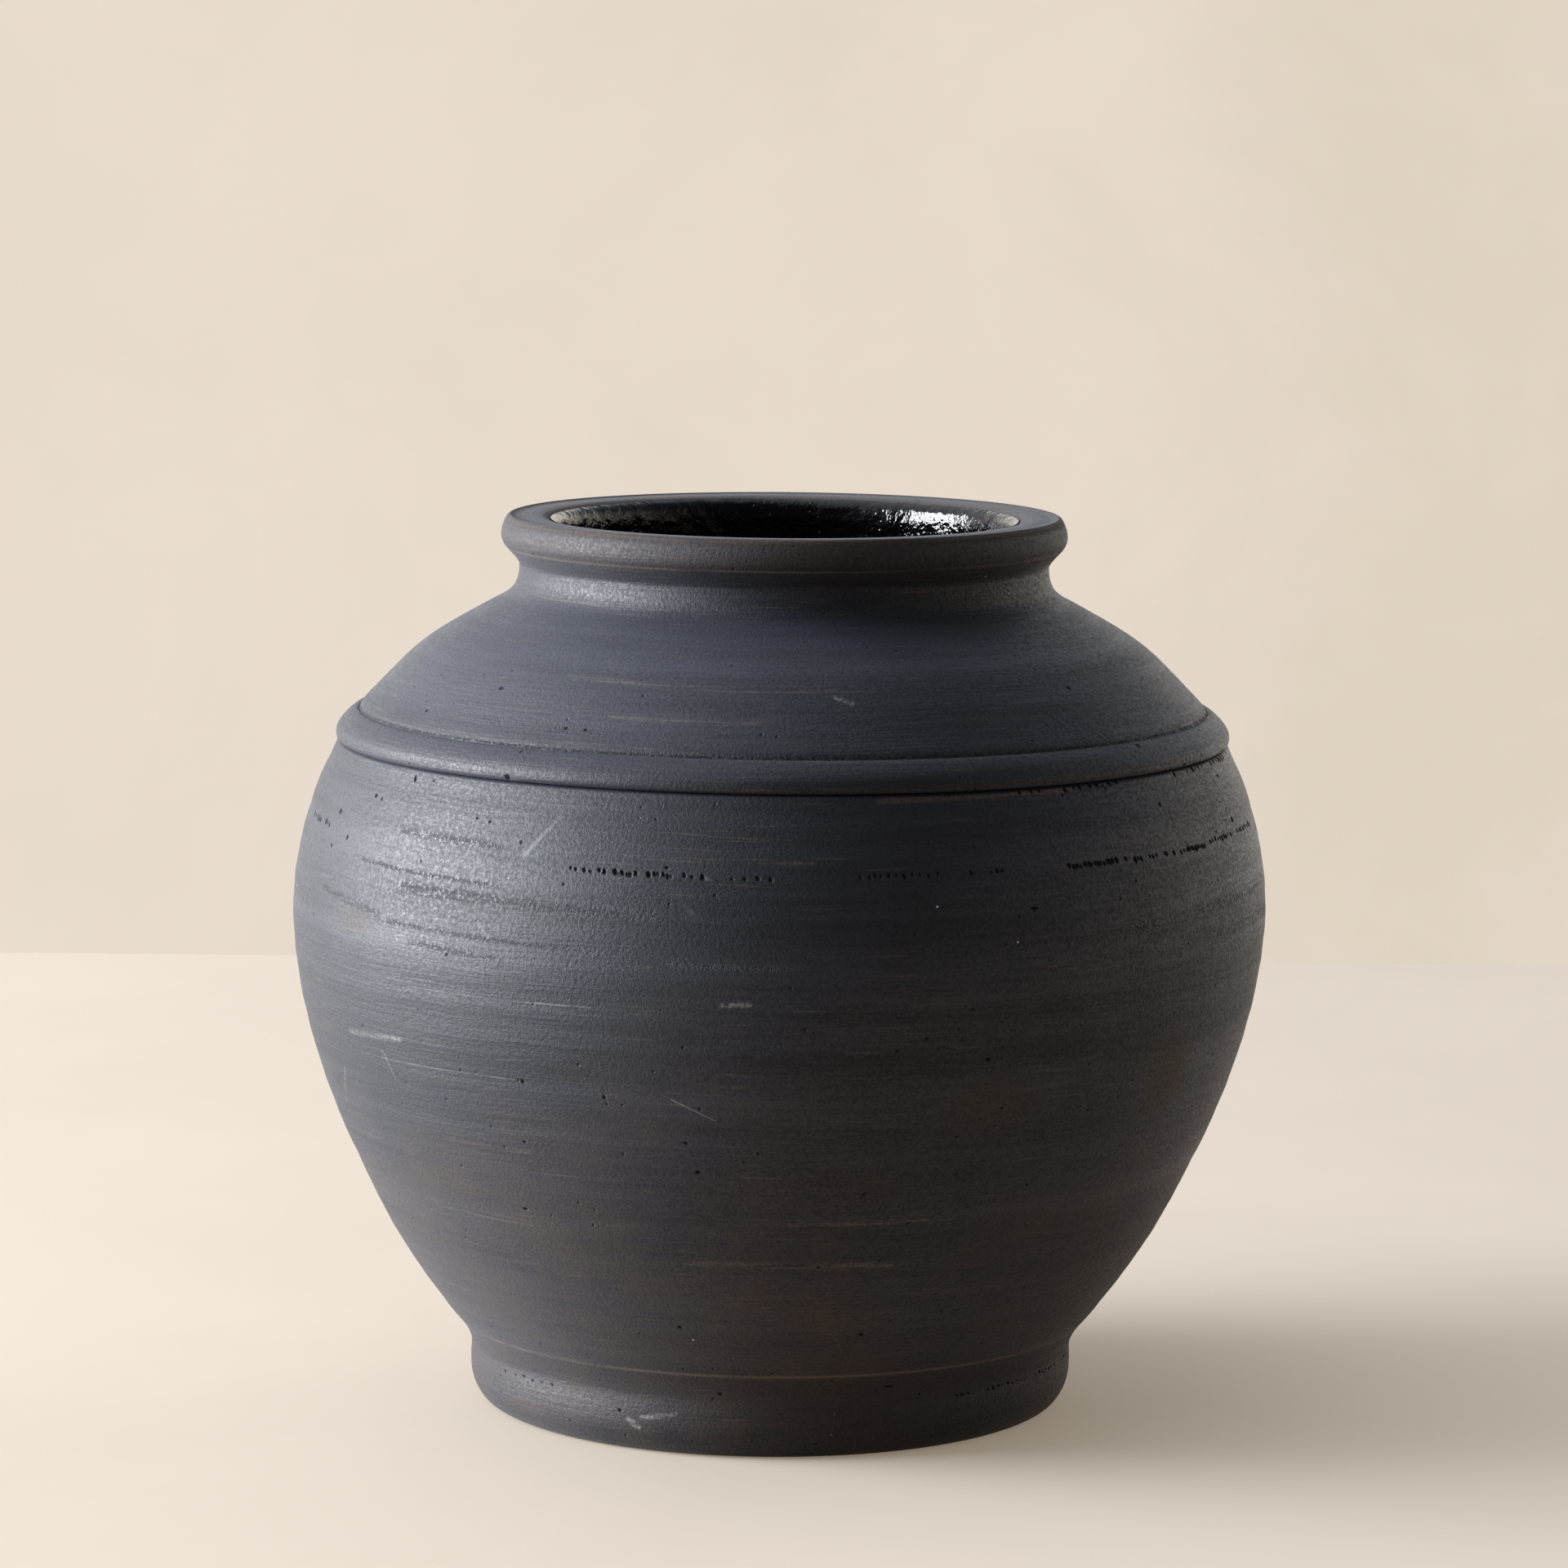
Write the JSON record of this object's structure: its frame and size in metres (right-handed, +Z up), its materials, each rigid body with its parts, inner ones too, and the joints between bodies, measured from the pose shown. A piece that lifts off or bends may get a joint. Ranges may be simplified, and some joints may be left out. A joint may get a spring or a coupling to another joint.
{
  "type": "clay jar",
  "caption": "Round-bellied wheel-thrown jar in matte black clay, with a foot ring, a raised shoulder band, a thick rolled rim and a glossy glazed inside.",
  "frame": {"origin": "centre of the foot, on the surface that the jar stands on", "axes": "+Z up along the throwing axis, -Y towards the viewer, +X to the viewer's right"},
  "size_m": [0.299, 0.299, 0.2742],
  "materials": {
    "slip_clay": "matte charcoal slip over brown clay, brushed round the pot on the wheel",
    "inner_glaze": "glossy black glaze"
  },
  "bodies": {
    "root": {"foot_ring": "slip_clay", "base_disc": "slip_clay", "lower_body": "slip_clay", "upper_body": "slip_clay", "shoulder_band": "slip_clay", "neck_collar": "slip_clay", "rim_roll": "slip_clay", "inner_glaze": "inner_glaze"}
  },
  "joints": []
}
